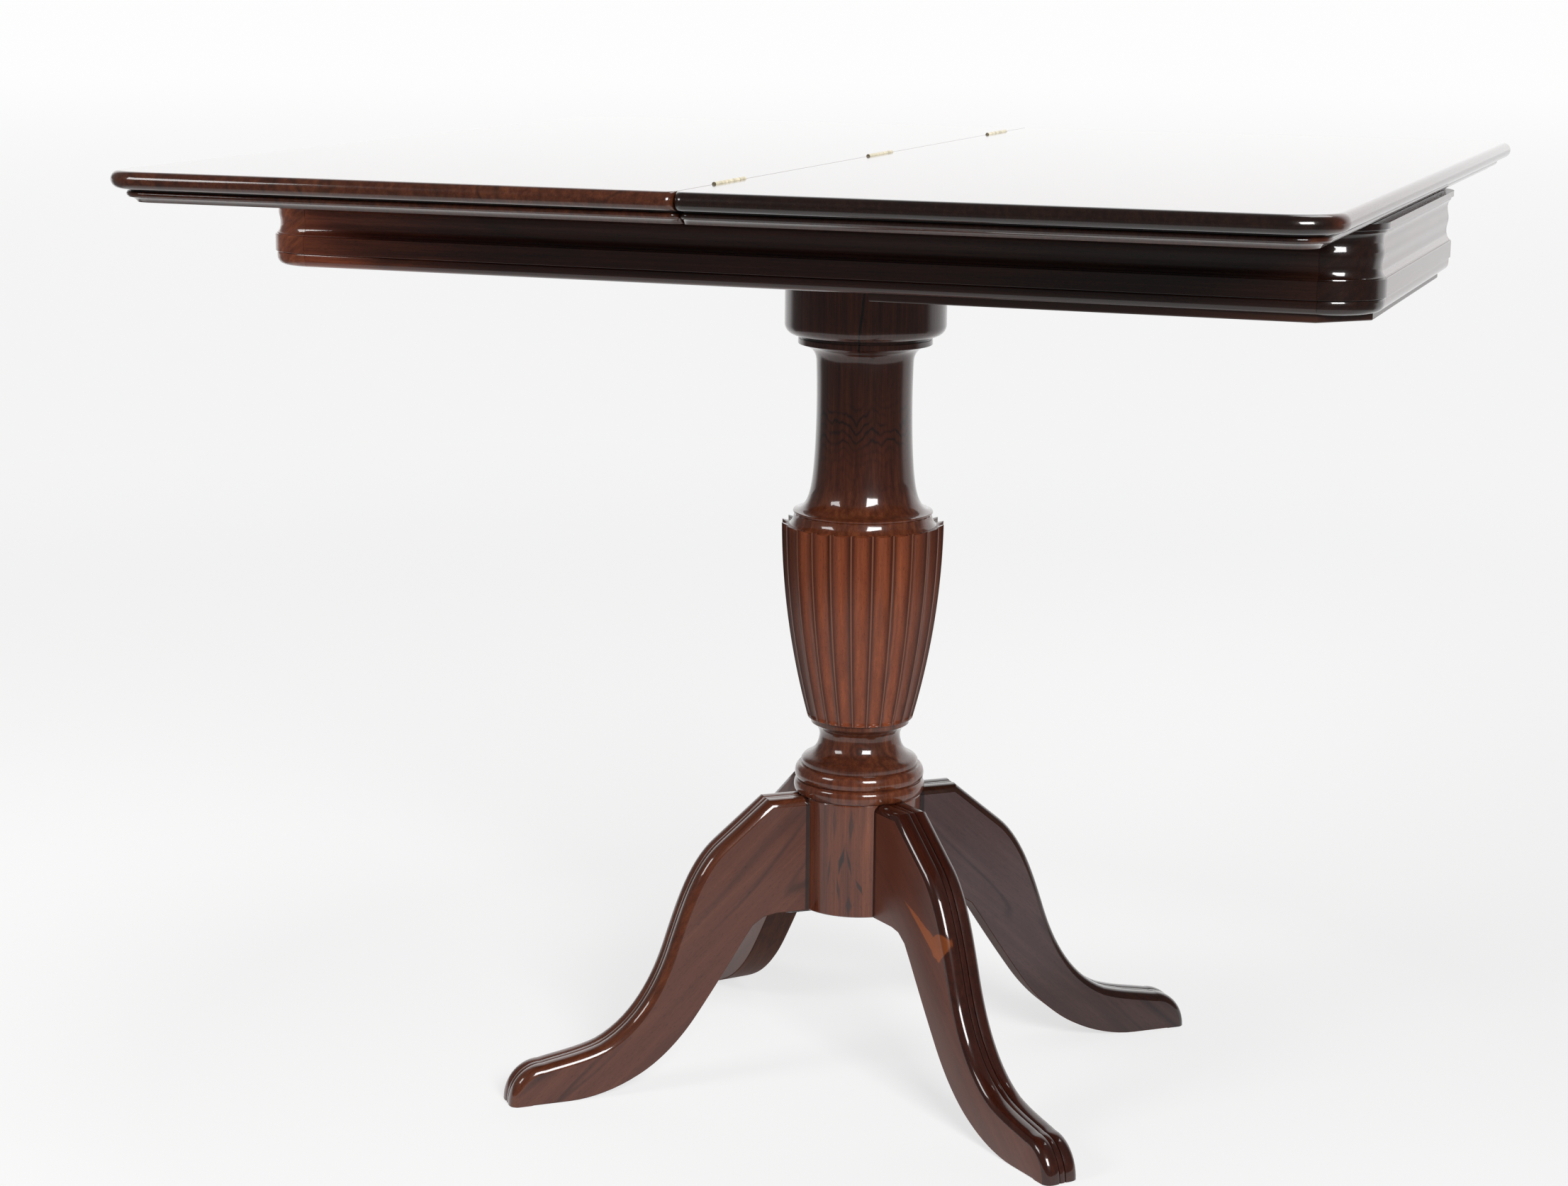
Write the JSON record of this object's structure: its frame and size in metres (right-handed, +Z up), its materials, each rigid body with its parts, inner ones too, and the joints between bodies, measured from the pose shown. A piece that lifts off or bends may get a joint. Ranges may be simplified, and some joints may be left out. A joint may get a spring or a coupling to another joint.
{
  "type": "fold-over swivel-top table",
  "caption": "Square fold-over table: a hinged double top that swivels on a moulded frame, on a turned and fluted column with sabre legs.",
  "frame": {"origin": "on the floor, below the middle of the open top", "axes": "+X along the frame's long axis towards the folding leaf, +Y along the seam away from the front, +Z up"},
  "size_m": [0.9, 0.9, 0.7617],
  "materials": {
    "polished_mahogany": "gloss",
    "polished_top": "gloss",
    "stained_board": "satin",
    "plain_hardwood": "matt",
    "dark_brass": "aged",
    "steel": "satin"
  },
  "bodies": {
    "base": {"column": "polished_mahogany", "leg_front": "polished_mahogany", "leg_back": "polished_mahogany", "leg_left": "polished_mahogany", "leg_right": "polished_mahogany", "tie_plate": "steel", "tie_screws": "steel", "tenon_wedge": "plain_hardwood", "bearer": "plain_hardwood", "front_rail": "polished_mahogany", "back_rail": "polished_mahogany", "left_rail": "polished_mahogany", "right_rail": "polished_mahogany", "corner_front_left": "polished_mahogany", "corner_front_right": "polished_mahogany", "corner_back_left": "polished_mahogany", "corner_back_right": "polished_mahogany", "glue_blocks": "plain_hardwood", "partition": "plain_hardwood", "well_board": "stained_board", "well_screws": "dark_brass", "pivot_board": "plain_hardwood", "pivot_ledgers": "plain_hardwood", "ledger_screws": "dark_brass", "pivot_bush": "dark_brass"},
    "top": {"fixed_leaf": "polished_top", "swivel_plate": "steel", "swivel_screws": "steel", "pivot_bolt": "steel", "pivot_washer": "steel", "pivot_nut": "steel", "lock_nut": "steel", "stop_peg": "plain_hardwood", "fixed_hinge_plates": "dark_brass", "fixed_hinge_screws": "dark_brass", "hinge_pins": "dark_brass"},
    "flap": {"folding_leaf": "polished_top", "folding_hinge_plates": "dark_brass", "folding_hinge_screws": "dark_brass"}
  },
  "joints": [
    {"name": "top_swivel", "type": "hinge", "parent": "base", "child": "top", "pos_m": [-0.0975, 0.0975, 0.737], "axis": [0, 0, 1], "range_deg": [0, 90]},
    {"name": "leaf_fold", "type": "hinge", "parent": "top", "child": "flap", "pos_m": [0, 0, 0.76015], "axis": [0, -1, 0], "range_deg": [0, 180]}
  ]
}
